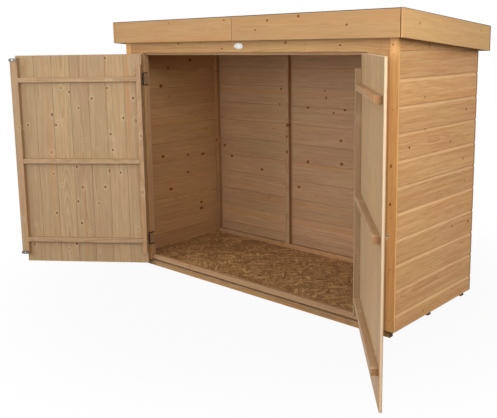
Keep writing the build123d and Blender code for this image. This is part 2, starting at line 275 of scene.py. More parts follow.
def strand_board(name, dark, pale, shade):
    """Oriented strand board. Flat strands of about 75 by 15 mm lie over each other in all
    directions, each with a tone of its own, in a darker resin. Cut edges are drawn dark as painted
    shade."""
    material, t = blank(name)
    place = add(t, "TexCoord", out="Object")
    drift = add(t, "TexNoise", {"Vector": place, "Scale": 13.0, "Detail": 2.0}, out="Color")
    moved = add(t, "VectorMath:MULTIPLY_ADD", {0: drift, 1: (0.03, 0.03, 0.0), 2: place})
    tone, lip = None, None
    for turn, keep in ((0.25, 0.0), (1.35, 0.45), (-0.6, 0.5), (0.75, 0.62), (2.3, 0.68)):
        laid = add(t, "VectorRotate", {"Vector": moved, "Angle": turn}, rotation_type="Z_AXIS")
        sized = add(t, "VectorMath:MULTIPLY", [laid, (13.0, 66.0, 0.0)])
        strand = add(t, "TexVoronoi", {"Vector": sized, "Scale": 1.0}, out="Color")
        border = add(t, "TexVoronoi", {"Vector": sized, "Scale": 1.0}, feature="DISTANCE_TO_EDGE")
        red, green, _ = add(t, "SeparateColor", [strand]).node.outputs
        rim = add(t, "MapRange", [border, 0.0, 0.14, 0.0, 1.0], **SMOOTH)
        if tone is None:
            tone, lip = red, rim
            continue
        over = add(t, "Math:GREATER_THAN", [green, keep])
        tone = add(t, "Mix", {0: over, 2: tone, 3: red}, data_type="FLOAT")
        lip = add(t, "Mix", {0: over, 2: lip, 3: rim}, data_type="FLOAT")
    fine_at = add(t, "VectorMath:MULTIPLY", [place, (90.0, 260.0, 90.0)])
    fine = add(t, "TexNoise", {"Vector": fine_at, "Scale": 1.0, "Detail": 3.0})
    mixed = add(t, "Math:MULTIPLY_ADD", [fine, 1.0, -0.5])
    level = add(t, "Math:ADD", [tone, mixed], use_clamp=True)
    body = add(t, "Mix", {0: level, 6: linear(dark), 7: linear(pale)}, **COLOURS)
    gap = add(t, "Math:MULTIPLY_ADD", [lip, 0.6, 0.4])
    # Painted shade: faces that don't face up or down, the cut edges, are drawn towards the dark
    # colour
    facing = add(t, "NewGeometry", out="Normal")
    _, _, rise = add(t, "SeparateXYZ", [facing]).node.outputs
    flat = add(t, "Math:ABSOLUTE", [rise])
    cover = add(t, "MapRange", [flat, 0.3, 0.7, 0.2, 1.0])
    shown = add(t, "Math:MULTIPLY", [gap, cover])
    body = add(t, "Mix", {0: shown, 6: linear(shade), 7: body}, **COLOURS)
    gloss = add(t, "Math:MULTIPLY_ADD", [tone, 0.25, 0.5])
    high = add(t, "Math:MULTIPLY_ADD", [lip, 0.7, tone])
    normal = add(t, "Bump", {"Strength": 0.5, "Distance": 0.001, "Height": high})
    shader = add(t, "BsdfPrincipled", {
        "Base Color": body, "Roughness": gloss, "Normal": normal})
    add(t, "OutputMaterial", {"Surface": shader})
    return material


def mineral_felt(name, stone, tar):
    """Bitumen felt with crushed stone pressed into its face: matt, dark and gritty. The grit
    is drawn at 2.4 mm, coarser than the real 1 mm, so that it shows."""
    material, t = blank(name)
    place = add(t, "TexCoord", out="Object")
    grit = add(t, "TexVoronoi", {"Vector": place, "Scale": 420.0}, out="Color")
    grey = add(t, "SeparateColor", [grit])
    worn = add(t, "TexNoise", {"Vector": place, "Scale": 6.0, "Detail": 4.0})
    both = add(t, "Math:MULTIPLY_ADD", [worn, 0.6, grey])
    level = add(t, "MapRange", [both, 0.2, 1.3, 0.0, 1.0])
    body = add(t, "Mix", {0: level, 6: linear(tar), 7: linear(stone)}, **COLOURS)
    normal = add(t, "Bump", {"Strength": 0.6, "Distance": 0.0008, "Height": grey})
    shader = add(t, "BsdfPrincipled", {
        "Base Color": body, "Roughness": 0.92, "Normal": normal})
    add(t, "OutputMaterial", {"Surface": shader})
    return material


def zinc_plate(name, bright, dull, rough, barrel=None):
    """Pressed steel with a thin zinc coat: cloudy and half matt, in patches of 6 mm. A hinge's
    barrel, round its pin, is drawn dark as painted shade."""
    material, t = blank(name)
    place = add(t, "TexCoord", out="Object")
    spangle = add(t, "TexVoronoi", {"Vector": place, "Scale": 160.0}, out="Color")
    grey = add(t, "SeparateColor", [spangle])
    cloud = add(t, "TexNoise", {"Vector": place, "Scale": 55.0, "Detail": 4.0})
    level = add(t, "Math:MULTIPLY_ADD", [grey, 0.3, cloud], use_clamp=True)
    body = add(t, "Mix", {0: level, 6: linear(dull), 7: linear(bright)}, **COLOURS)
    if barrel:
        # Painted shade: the barrel round the pin is drawn dark
        x, y, _ = add(t, "SeparateXYZ", [place]).node.outputs
        wide = add(t, "Math:ABSOLUTE", [x])
        off = add(t, "Math:ADD", [wide, AXIS[0] / 1000])
        deep = add(t, "Math:SUBTRACT", [y, AXIS[1] / 1000])
        deep2 = add(t, "Math:MULTIPLY", [deep, deep])
        far2 = add(t, "Math:MULTIPLY_ADD", [off, off, deep2])
        far = add(t, "Math:SQRT", [far2])
        barrel_shade = add(t, "MapRange", [far, 0.0047, 0.0062, 1.0, 0.0])
        body = add(t, "Mix", {0: barrel_shade, 6: body, 7: linear(barrel)}, **COLOURS)
    gloss = add(t, "Math:MULTIPLY_ADD", [cloud, 0.25, rough - 0.12])
    normal = add(t, "Bump", {"Strength": 0.15, "Distance": 0.0003, "Height": cloud})
    shader = add(t, "BsdfPrincipled", {
        "Base Color": body, "Metallic": 0.85, "Roughness": gloss, "Normal": normal})
    add(t, "OutputMaterial", {"Surface": shader})
    return material


def satin_plastic(name, colour, dirt):
    """Moulded ABS with a satin face of 1 mm grain, a little greyer where dust settles."""
    material, t = blank(name)
    place = add(t, "TexCoord", out="Object")
    dust = add(t, "TexNoise", {"Vector": place, "Scale": 40.0, "Detail": 4.0})
    level = add(t, "MapRange", [dust, 0.45, 0.75, 0.0, 0.6])
    body = add(t, "Mix", {0: level, 6: linear(colour), 7: linear(dirt)}, **COLOURS)
    grain = add(t, "TexNoise", {"Vector": place, "Scale": 900.0})
    gloss = add(t, "Math:MULTIPLY_ADD", [dust, 0.2, 0.25])
    normal = add(t, "Bump", {"Strength": 0.1, "Distance": 0.0002, "Height": grain})
    shader = add(t, "BsdfPrincipled", {
        "Base Color": body, "Roughness": gloss, "Normal": normal})
    add(t, "OutputMaterial", {"Surface": shader})
    return material


# Stains and finishes, each named for its wood and what was done to it, or for the shade painted
# into it
# The hollow highlight is painted highlight in each wall board's hollow, paler than the stain
STAIN_AND_HIGHLIGHT = {"early": "#DFB179", "late": "#AA7440", "hollow_highlight": "#F0CE9C", "rings": 0.2}
WALL_WOOD = softwood("spruce_cladding_honey_stain", bare=("#CDA271", "#A1764B"), streaks=0.28,
                     **STAIN_AND_HIGHLIGHT)
BACK_WOOD = softwood("spruce_back_cladding", bare=("#C39C75", "#9B7350"), **STAIN_AND_HIGHLIGHT)
TRIM_WOOD = softwood("spruce_trim_honey_stain", "#C9A26E", "#A67744", rings=0.35)
# Its near-black cut colour is painted shade, in the hinge slits of the panels and at the seam
# between front and side fascias
SHADE_ENDED_WOOD = softwood("spruce_trim_painted_shade_ends", "#C39C69", "#AB7F4D", rings=0.25,
                           streaks=0.26, cut="#3A2412")
SIDE_FASCIA = softwood("spruce_fascia_stained_ends", "#CBA571", "#B3864F", rings=0.25,
                       streaks=0.26, cut="#C0935E")
CORNER_WOOD = softwood("spruce_corner_trim_amber_stain", "#E6B97C", "#C89254")
DOOR_LOOK = {"knot": "#7C431E", "rim": "#56300F", "rings": 0.35, "halo": "#D9BE98"}
DOOR_WOOD = softwood("spruce_door_framing", "#C3A07C", "#9F7F5C", **DOOR_LOOK)
DOOR_BOARD = softwood("spruce_matchboard_honey_face", "#D9AC78", "#A97542",
                      bare=("#C3A47F", "#9D7E59"), soaked=(0.0098, 0.0116), cut="#DBC1A1",
                      **DOOR_LOOK)
# Its near-black cut colour is painted shade in the hinge slits of the jambs
FRAME_WOOD = softwood("planed_spruce_framing", "#BD9771", "#98734E", "#74431F", cut="#3A2412")
# A darker copy of the framing wood: painted shade for the corner posts and the header rail, which
# stand in shade
PAINTED_SHADE_WOOD = softwood("planed_spruce_painted_shade", "#A8835C", "#84613E", "#74431F")
# Its near-black cut colour is partly the end grain of treated timber and partly painted shade,
# where the ends lie under the walls
BEARER_WOOD = softwood("sawn_bearer_treated", "#AB8A63", "#84643F", "#4A2C18", "#33200F",
                       fibres=0.8, rough=0.8, relief=0.8, cut="#2E2015")
# Its darkest colour is the resin, and also painted shade on the cut edges
OSB = strand_board("oriented_strand_board", "#8E6238", "#D0A268", "#5A3B20")
FELT_FACE = mineral_felt("green_mineral_felt", "#56544C", "#201E1B")
ZINC = zinc_plate("zinc_plated_steel", "#77736B", "#413E3A", 0.42)
# The barrel colour is painted shade on the hinge barrels
HINGE_STEEL = zinc_plate("yellow_passivated_hinges", "#C9A77E", "#957753", 0.55, barrel="#2E2B29")
YELLOW_ZINC = zinc_plate("yellow_passivated_bolt", "#A98D68", "#77603F", 0.5)
NAIL_STEEL = zinc_plate("stained_over_nails", "#9A7A54", "#6E5236", 0.6)
SCREW_STEEL = zinc_plate("bright_zinc_screws", "#C9C7C0", "#8B8881", 0.35)
BADGE = satin_plastic("satin_white_abs", "#E9E7E2", "#B5B1AA")


def rounded(width, depth, r=ARRIS):
    """Section of planed timber with its arrises taken off."""
    points = []
    for cv, cw, start in ((r, r, 180), (width - r, r, 270), (width - r, depth - r, 0),
                          (r, depth - r, 90)):
        for step in (0, 45, 90):
            angle = math.radians(start + step)
            points.append((cv + r * math.cos(angle), cw + r * math.sin(angle)))
    return points


def shiplap():
    """Wall board: a lip over the board below, a flat face, and a hollow under the next lip."""
    lap, seat, width, depth = 8.0, 6.5, 16, 5.4
    lip = SHIPLAP + lap - 0.4
    hollow = [(SHIPLAP - width + width * s, BOARD - depth * (1 - (1 - s) ** 1.5))
              for s in (0, 0.08, 0.18, 0.3, 0.45, 0.65, 0.85, 1.0)]
    return ([(lap + 1.2, 0), (lap + 0.2, 1.0), (lap + 0.2, seat), (0, seat), (0, BOARD - 1.0),
             (1.0, BOARD)] + hollow + [(lip, seat - 0.3), (lip, 1.0), (lip - 1.0, 0)])


def matchboard(cover, first, last):
    """Door board with tongue and groove, a bevelled joint in front and a fine one behind."""
    back, bevel = 1.5, 2.6
    left = [(back, 0), (0.35, 1.2)]
    if not first:
        left += [(0.15, 4.2), (6.0, 4.2), (6.0, 7.8), (0.15, 7.8)]
    left += [(0.15, BOARD - bevel), (bevel, BOARD)]
    right = [(cover - bevel, BOARD), (cover - 0.15, BOARD - bevel)]
    if not last:
        right += [(cover - 0.15, 7.5), (cover + 5, 7.5), (cover + 5, 4.5), (cover - 0.15, 4.5)]
    return left + right + [(cover - 0.35, 1.2), (cover - back, 0)]


def clipped(section, low, high):
    """A section with everything outside low and high across it cut away."""
    for limit, sign in ((low, 1), (high, -1)):
        kept = []
        for (v0, w0), (v1, w1) in zip(section, section[1:] + section[:1]):
            in0, in1 = sign * (v0 - limit) >= 0, sign * (v1 - limit) >= 0
            if in0:
                kept.append((v0, w0))
            if in0 != in1:
                s = (limit - v0) / (v1 - v0)
                kept.append((limit, w0 + s * (w1 - w0)))
        section = kept
    return section


def stray_knots(rng, length, width, often=1.0):
    """Knots for a board whose own knots nobody sees: small, uneven, in rows as branches grow."""
    knots, u = [], rng.uniform(60, 320) / often
    while u < length - 30:
        knots.append((u, rng.uniform(0.15, 0.85) * width, rng.choice((2.5, 3.5, 4.5, 6.0, 8.0)),
                      rng.uniform(0.15, 0.6)))
        u += rng.uniform(150, 560) / often
    return knots


def plank(rng, origin, along, face, section, stations, knots=(), shear=0.0, ease=0.0):
    """One board. Stations are (place along it, least and greatest place across it), and two
    at one place make a step. Ease takes the arrises off its ends. The board keeps where each
    point lay in the log, and the knot that is nearest to each stretch."""
    u_axis, w_axis = Vector(along), Vector(face)
    v_axis = w_axis.cross(u_axis)
    origin = Vector(origin)
    vs = [p[0] for p in section]
    mid_v = (min(vs) + max(vs)) / 2
    mid_w = sum(p[1] for p in section) / len(section)
    knots = sorted((*k, FIRM)[:4] for k in knots)
    cuts = [(a[0] + b[0]) / 2 for a, b in zip(knots, knots[1:])]
    rows = list(stations)
    for cut in cuts:
        for i, (s0, s1) in enumerate(zip(rows, rows[1:])):
            if s0[0] + 0.5 < cut < s1[0] - 0.5:
                k = (cut - s0[0]) / (s1[0] - s0[0])
                low, high = (s0[c] + k * (s1[c] - s0[c]) for c in (1, 2))
                rows.insert(i + 1, (cut, low, high))
                break
    rows = [(*row, 0.0) for row in rows]
    if ease:
        first, last = rows[0], rows[-1]
        rows = ([(*first[:3], ease), (first[0] + ease, *first[1:])] + rows[1:-1]
                + [(last[0] - ease, *last[1:]), (*last[:3], ease)])
    shift = rng.uniform(1, 90)
    heart = (rng.uniform(-0.4, 1.4) * max(vs), rng.choice((-1, 1)) * rng.uniform(20, 110))
    tone = rng.uniform(0.91, 1.06)
    out = {"points": [], "grain": [], "faces": [], "knot": [], "end": [], "firm": [],
           "log": (heart[0] / 1000, heart[1] / 1000, tone)}
    for u, low, high, inset in rows:
        for v, w in section:
            v = min(max(v, low), high)
            v += inset * (1 if v < mid_v else -1)
            w += inset * (1 if w < mid_w else -1)
            out["points"].append((origin + u_axis * u + v_axis * (v + shear * u) + w_axis * w)
                                 / 1000)
            out["grain"].append((u / 1000 + shift, v / 1000, w / 1000))
    n = len(section)
    none = (shift - 50.0, 50.0, 0.001)  # a knot too far off to matter

    def nearest(u):
        if not knots:
            return none, 0.0
        k = min(knots, key=lambda knot: abs(knot[0] - u))
        return (k[0] / 1000 + shift, k[1] / 1000, k[2] / 1000), k[3]

    for i in range(len(rows) - 1):
        knot, firm = nearest((rows[i][0] + rows[i + 1][0]) / 2)
        for j in range(n):
            k = (j + 1) % n
            out["faces"].append((i * n + j, i * n + k, (i + 1) * n + k, (i + 1) * n + j))
            out["knot"].append(knot)
            out["firm"].append(firm)
            across = (section[j][0], section[k][0])
            step = rows[i + 1][0] - rows[i][0] < 0.01
            # Faces sunk deep in a slit take the cut colour as painted shade
            shaded_in_slit = max(across) < rows[i][1] - SUNK or min(across) > rows[i][2] + SUNK
            out["end"].append(1.0 if step or shaded_in_slit else 0.0)
    last = (len(rows) - 1) * n
    for cap in (range(n), range(last + n - 1, last - 1, -1)):
        out["faces"].append(tuple(cap))
        out["knot"].append(none)
        out["firm"].append(0.0)
        out["end"].append(1.0)
    return out


def new_mesh(name, points, faces, material):
    mesh = bpy.data.meshes.new(name)
    mesh.from_pydata(points, [], faces)
    mesh.materials.append(material)
    return mesh


def assemble(name, planks, material, replaces, body="shelter", place=None):
    """Joins boards into one piece, with what the wood's material needs to know of each."""
    points, faces, log = [], [], []
    for p in planks:
        start = len(points)
        points += p["points"]
        faces += [tuple(start + i for i in f) for f in p["faces"]]
        log += [p["log"]] * len(p["faces"])
    grain, knot, end, firm = ([value for p in planks for value in p[key]]
                              for key in ("grain", "knot", "end", "firm"))
    mesh = new_mesh(name, points, faces, material)
    for label, domain, values in (("grain", "POINT", grain), ("knot", "FACE", knot),
                                  ("log", "FACE", log)):
        layer = mesh.attributes.new(label, "FLOAT_VECTOR", domain)
        layer.data.foreach_set("vector", [c for value in values for c in value])
    for label, values in (("end", end), ("firm", firm)):
        mesh.attributes.new(label, "FLOAT", "FACE").data.foreach_set("value", values)
    settle(name, mesh, replaces, body, place)


def settle(name, mesh, replaces, body="shelter", place=None):
    """Turns a mesh into a piece of one body, in its place, facing outwards."""
    if place is not None:
        mesh.transform(place)
    work = bmesh.new()
    work.from_mesh(mesh)
    bmesh.ops.recalc_face_normals(work, faces=work.faces)
    work.to_mesh(mesh)
    work.free()
    piece = bpy.data.objects.new(name, mesh)
    bpy.context.scene.collection.objects.link(piece)
    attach(piece, body)
    if replaces:
        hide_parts(*replaces)


def stick(rng, low, high, along, face, knots=(), ease=0.8, often=0.5, r=ARRIS, stations=None):
    """Planed timber between two corners, given by its long axis and its broad face. Without
    knots of its own it gets stray ones."""
    low, high = Vector(low), Vector(high)
    u_axis, w_axis = Vector(along), Vector(face)
    v_axis = w_axis.cross(u_axis)
    corner = Vector([low[i] if u_axis[i] + v_axis[i] + w_axis[i] > 0 else high[i]
                     for i in range(3)])
    size = high - low
    length, width, depth = (abs(size.dot(a)) for a in (u_axis, v_axis, w_axis))
    section = rounded(width, depth, r)
    if not knots:
        knots = stray_knots(rng, length, width, often)
    stations = stations or [(0, 0, width), (length, 0, width)]
    return plank(rng, corner, along, face, section, stations, knots, ease=ease)


# Walls
def on_board(marks, foot):
    """The knots of a whole wall, (along, up, radius), that lie on the board with this foot."""
    return [(u, z - foot, r) for u, z, r in marks if 4 < z - foot < SHIPLAP + 4]


def wall_feet(top):
    """Heights at which the boards of a wall start, when it ends at the top."""
    return [foot for foot in (SHIPLAP_START + k * SHIPLAP for k in range(20)) if foot < top - 2]


def side_wall(side, sign, seed, marks):
    """Horizontal shiplap from corner to corner, cut to the roof's fall at its top."""
    rng = random.Random(seed)
    length = 2 * FRAME_FACE
    boards = []
    for foot in wall_feet(roof_at(-FRAME_FACE, ROOF_BOARD)):
        section = clipped(shiplap(), max(WALL_FOOT - foot, FREE[0]), FREE[1])
        origin = (sign * INNER, -sign * FRAME_FACE, foot)
        steps = 12 if foot > TRIMMED else 1
        meets_roof = ROOF_FRONT + (ROOF_TOP - ROOF_BOARD - foot - 0.5) / FALL
        run = min(meets_roof, FRAME_FACE) + FRAME_FACE
        first = 0 if sign > 0 else length - run
        stations = []
        for i in range(steps + 1):
            u = first + run * i / steps
            y = sign * (u - FRAME_FACE)
            stations.append((u, 0, min(roof_at(y, ROOF_BOARD) - foot, SHIPLAP + 20)))
        mine = on_board(marks, foot) or stray_knots(rng, length, SHIPLAP, 0.7)
        boards.append(plank(rng, origin, (0, sign, 0), (sign, 0, 0), section, stations, mine))
    assemble(f"{side}_shiplap", boards, WALL_WOOD, (f"{side}_wall",))


side_wall("right", 1, 11, [
    (236, 944, 3.5), (91, 876, 5), (479, 859, 4.5), (619, 757, 4), (701, 418, 6), (524, 428, 4),
    (633, 1005, 5), (219, 1092, 3.5)])
side_wall("left", -1, 12, [
    (497, 1086, 9), (434, 1194, 8), (501, 634, 8), (284, 619, 7), (147, 605, 9), (289, 501, 7),
    (443, 410, 8), (173, 275, 8), (174, 233, 9), (242, 1243, 8)])


def back_wall():
    """Horizontal shiplap, seen from inside."""
    rng = random.Random(13)
    marks = [(1461, 522, 8), (1735, 586, 8), (1292, 1057, 6), (1150, 444, 7), (1801, 656, 8),
             (941, 1015, 7), (1076, 951, 7), (802, 950, 7), (883, 928, 5), (948, 1057, 5),
             (830, 765, 7), (1077, 614, 8), (823, 625, 8), (1304, 961, 5)]
    boards = []
    top = roof_at(FACE, ROOF_BOARD)
    for foot in wall_feet(top):
        section = clipped(shiplap(), max(WALL_FOOT - foot, FREE[0]), top - foot)
        mine = on_board(marks, foot)
        mine += stray_knots(rng, 2 * SIDE, SHIPLAP, 0.5) if len(mine) < 2 else []
        boards.append(plank(rng, (SIDE, FRAME_FACE, foot), (-1, 0, 0), DEEP, section,
                            [(0, *FREE), (2 * SIDE, *FREE)], mine))
    assemble("back_shiplap", boards, BACK_WOOD, ("back_wall",))


back_wall()


def hinge_recesses(start, width, sign):
    """Stations for the edge of the opening: room for each hinge leaf, with a deeper slit
    above and below it."""
    stations = []
    for height in HINGES:
        end = HINGE_LENGTH / 2
        for reach, deep in ((-end - SLIT, 0), (-end - SLIT, SLIT_DEPTH), (-end, SLIT_DEPTH),
                            (-end, LEAF), (end, LEAF), (end, SLIT_DEPTH),
                            (end + SLIT, SLIT_DEPTH), (end + SLIT, 0)):
            stations.append((height + reach - start, deep if sign < 0 else 0,
                             width - deep if sign > 0 else width))
    return stations


# Front: corner trims, panels beside the doors and header
rng = random.Random(21)
trim_top = roof_at(-FRAME_FACE, ROOF_BOARD)
for side, low_x, high_x, knots in (
        ("left", -SIDE, -TRIM_EDGE, ()),
        ("right", TRIM_EDGE, SIDE, ((766, 30, 4), (595, 31, 4.5), (1295, 30, 3)))):
    trim = stick(rng, (low_x, -FACE, WALL_FOOT), (high_x, -FRAME_FACE, trim_top), UP, FRONT,
                 knots, ease=0)
    assemble(f"{side}_corner_trim_board", [trim], CORNER_WOOD, (f"{side}_corner_trim",))
for side, sign in SIDES:
    low_x, high_x = sorted((sign * TRIM_EDGE, sign * OPENING))
    width = high_x - low_x
    stations = [(0, 0, width), *hinge_recesses(WALL_FOOT, width, sign),
                (HEADER_FOOT - WALL_FOOT, 0, width)]
    panel = stick(rng, (low_x, -FACE, WALL_FOOT), (high_x, -FRAME_FACE, HEADER_FOOT), UP, FRONT,
                  ease=0, stations=stations)
    assemble(f"{side}_panel_board", [panel], SHADE_ENDED_WOOD, (f"{side}_front_panel",))
knots = (431, 50, 5), (606, 51, 3.5), (773, 20, 4), (1208, 46, 5.5), (1530, 30, 4)
header = stick(rng, (-TRIM_EDGE, -FACE, HEADER_FOOT), (TRIM_EDGE, -FRAME_FACE, trim_top),
               OVER, FRONT, knots, ease=0)
assemble("header_face", [header], TRIM_WOOD, ("header_board",))

# Frame timbers
rng = random.Random(31)
posts = []
for sx in (-1, 1):
    for sy in (-1, 1):
        xs = sorted((sx * INNER, sx * (INNER - TIMBER)))
        ys = sorted((sy * FRAME_FACE, sy * (FRAME_FACE - TIMBER)))
        top = roof_at(ys[1], ROOF_BOARD)
        posts.append(stick(rng, (xs[0], ys[0], FLOOR_TOP), (xs[1], ys[1], top), UP, FRONT, ease=0))
assemble("corner_uprights", posts, PAINTED_SHADE_WOOD, ("corner_posts",))
for side, sign in SIDES:
    xs = sorted((sign * OPENING, sign * (OPENING + TIMBER)))
    stations = [(0, 0, TIMBER), *hinge_recesses(FLOOR_TOP, TIMBER, sign),
                (RAIL_FOOT - FLOOR_TOP, 0, TIMBER)]
    jamb = stick(rng, (xs[0], -FRAME_FACE, FLOOR_TOP), (xs[1], -FRAME_FACE + TIMBER, RAIL_FOOT),
                 UP, FRONT, ease=0, stations=stations)
    assemble(f"{side}_jamb_timber", [jamb], FRAME_WOOD, (f"{side}_jamb",))
rail_in, rail_out = FRAME_FACE - TIMBER, FRAME_FACE
top_rail_foot = roof_at(rail_out, ROOF_BOARD + TIMBER)
post_in = INNER - TIMBER
battens = []
for x, knots in ((-BATTEN, ((768, 9, 8), (694, 14, 6), (599, 13, 7))), (BATTEN, ())):
    battens.append(stick(rng, (x - TIMBER / 2, rail_in, SILL_TOP),
                         (x + TIMBER / 2, rail_out, top_rail_foot), UP, FRONT, knots))
assemble("back_uprights", battens, FRAME_WOOD, ("back_battens",))
for name, node, low, high in (
        ("header_rail_timber", "header_rail", (-post_in, -FRAME_FACE, RAIL_FOOT),
         (post_in, -FRAME_FACE + STOP_DEPTH, roof_at(-FRAME_FACE + STOP_DEPTH, ROOF_BOARD))),
        ("back_bottom_timber", "back_bottom_rail", (-post_in, rail_in, FLOOR_TOP),
         (post_in, rail_out, SILL_TOP)),
        ("back_top_timber", "back_top_rail", (-post_in, rail_in, top_rail_foot),
         (post_in, rail_out, roof_at(rail_out, ROOF_BOARD))),
        ("sill_timber", "sill", (-OPENING, -FRAME_FACE, FLOOR_TOP),
         (OPENING, -FRAME_FACE + STOP_DEPTH, SILL_TOP))):
    timber = stick(rng, low, high, OVER, FRONT, ease=0.6)
    # The header rail, in shade under the header, gets the darker copy as painted shade
    wood = PAINTED_SHADE_WOOD if node == "header_rail" else FRAME_WOOD
    assemble(name, [timber], wood, (node,))
rails = []
for sign in (-1, 1):
    xs = sorted((sign * INNER, sign * post_in))
    start = -FRAME_FACE + TIMBER
    run = 2 * (FRAME_FACE - TIMBER)
    foot = roof_at(start, ROOF_BOARD + TIMBER)
    rails.append(plank(rng, (xs[0], start, foot), DEEP, OVER, rounded(TIMBER, TIMBER),
                       [(0, 0, TIMBER), (run, 0, TIMBER)], stray_knots(rng, run, TIMBER),
                       shear=-FALL))
assemble("side_top_timbers", rails, FRAME_WOOD, ("side_top_rails",))

# Base
rng = random.Random(41)
width, height = BEARER
for name, y in (("front", -FRAME_FACE), ("middle", -width / 2), ("back", FRAME_FACE - width)):
    bearer = stick(rng, (-BEARER_END, y, 0), (BEARER_END, y + width, height), OVER, FRONT,
                   ease=0.5, r=0.8)
    assemble(f"{name}_bearer_timber", [bearer], BEARER_WOOD, (f"bearer_{name}",))

# Roof edge
rng = random.Random(51)
thick, tall = FASCIA
front_inner, back_inner = ROOF_FRONT + thick, ROOF_BACK - thick
front_foot = ROOF_TOP - tall
fascias = {"left": (0.95, ((495, 101, 3.5), (921, 104, 4))),  # tone and knots
           "right": (0.9, ((241, 94, 5), (433, 107, 5.5), (162, 50, 4), (705, 60, 4)))}
for side, sign in SIDES:
    tone, knots = fascias[side]
    x0, x1 = sorted((sign * FASCIA_SEAM, sign * FASCIA_END))
    face = stick(rng, (x0, ROOF_FRONT, front_foot), (x1, front_inner, roof_at(front_inner)),
                 OVER, FRONT, knots, ease=0.3, r=1.2)
    face["log"] = (*face["log"][:2], tone)
    assemble(f"front_fascia_{side}_board", [face], SHADE_ENDED_WOOD, (f"front_fascia_{side}",))
    run = back_inner - ROOF_FRONT
    start = ROOF_FRONT if sign > 0 else back_inner
    edge = plank(rng, (sign * (ROOF_SIDE - thick), start, roof_at(start, tall)),
                 (0, sign, 0), (sign, 0, 0), rounded(tall, thick),
                 [(0, 0, tall), (run, 0, tall)], stray_knots(rng, run, tall, 0.8),
                 shear=-sign * FALL)
    edge["log"] = (*edge["log"][:2], 1.08)
    assemble(f"{side}_fascia_board", [edge], SIDE_FASCIA, (f"{side}_fascia",))
back_face = stick(rng, (-ROOF_SIDE, back_inner, roof_at(ROOF_BACK, tall)),
                  (ROOF_SIDE, ROOF_BACK, roof_at(ROOF_BACK)), OVER, FRONT, ease=0.8)
assemble("back_fascia_board", [back_face], TRIM_WOOD, ("back_fascia",))


# Doors
def swing(angle, mirrored):
    """From the place of the closed left door to that of an open door."""
    x = -AXIS[0] if mirrored else AXIS[0]
    hinge = Matrix.Translation((x / 1000, AXIS[1] / 1000, 0))
    turn = hinge @ Matrix.Rotation(math.radians(angle), 4, "Z") @ hinge.inverted()
    return turn @ Matrix.Scale(-1, 4, OVER) if mirrored else turn


LEFT, RIGHT = swing(OPEN_LEFT, False), swing(OPEN_RIGHT, True)


def hinge_notches(start, width, at_low):
    """Stations that leave the space of each hinge leaf free."""
    stations = []
    for height in HINGES:
        for z, inside in ((-1, 0), (-1, 1), (1, 1), (1, 0)):
            u = height + z * HINGE_LENGTH / 2 - start
            low = LEAF if inside and at_low else FREE[0]
            high = width - LEAF if inside and not at_low else FREE[1]
            stations.append((u, low, high))
    return stations


def door(side, place, ledge_end, seed, marks, stile_knots=()):
    """Matchboards on three ledges and a hinge upright. Knots are given where they lie on the
    closed left door."""
    rng = random.Random(seed)
    width = (DOOR[1] - DOOR[0]) / DOOR_BOARDS
    length = DOOR_TOP - DOOR_FOOT
    boards = []
    for k in range(DOOR_BOARDS):
        last = k == DOOR_BOARDS - 1
        section = matchboard(width, k == 0, last)
        edge = DOOR[1] - k * width
        mine = [(z - DOOR_FOOT, edge - x, r) for x, z, r in marks if 0 < edge - x < width]
        mine += stray_knots(rng, length, width, 0.8 if marks else 1.0)
        stations = [(0, *FREE), (length, *FREE)]
        if last:
            stations[1:1] = hinge_notches(DOOR_FOOT, width, False)
        board = plank(rng, (edge, DOOR_BACK, DOOR_FOOT), UP, FRONT, section, stations, mine)
        if k == 0:  # its first side is the door's free edge, which takes the pale cut colour
            for i in range(1, len(board["end"]) - 2, len(section)):
                board["end"][i] = 1.0
        boards.append(board)
    body = f"{side}_door"
    assemble(f"{side}_matchboards", boards, DOOR_BOARD, (f"{side}_door_boards",),
             body, place)
    inner = DOOR[0] + STILE_WIDTH
    low = (DOOR[0], DOOR_BACK, STILE[0])
    high = (inner, DOOR_BACK + TIMBER, STILE[1])
    stations = [(0, *FREE), *hinge_notches(STILE[0], STILE_WIDTH, True),
                (STILE[1] - STILE[0], *FREE)]
    upright = stick(rng, low, high, UP, DEEP, stile_knots, ease=0, stations=stations)
    assemble(f"{side}_hinge_upright", [upright], DOOR_WOOD, (f"{side}_hinge_stile",),
             body, place)
    ledges = [stick(rng, (inner, DOOR_BACK, z - TIMBER / 2),
                    (ledge_end, DOOR_BACK + TIMBER, z + TIMBER / 2), OVER, FRONT, often=0.8)
              for z in LEDGES]
    assemble(f"{side}_ledge_timbers", ledges, DOOR_WOOD, (f"{side}_ledges",),
             body, place)


door("left", LEFT, MEETING[0], 61, [
    (-212, 940, 6.5), (-57, 877, 5), (-233, 876, 5.5), (-380, 978, 4.5), (-463, 1035, 5),
    (-326, 1075, 5), (-653, 917, 5.5), (-569, 821, 5.5), (-717, 1036, 6), (-580, 724, 5),
    (-558, 1273, 5), (-741, 1171, 5), (-561, 1096, 4.5),
    (-348, 621, 5.5), (-553, 596, 6), (-620, 586, 4.5), (-379, 493, 5.5),
    (-521, 496, 5.5), (-199, 576, 4), (-346, 405, 5), (-206, 331, 5),
    (-361, 268, 5.5), (-320, 136, 6), (-477, 394, 4), (-48, 128, 5)])
door("right", RIGHT, -MEETING[1] - LEDGE_GAP, 62, [], ((924, 14, 7), (310, 11, 5)))

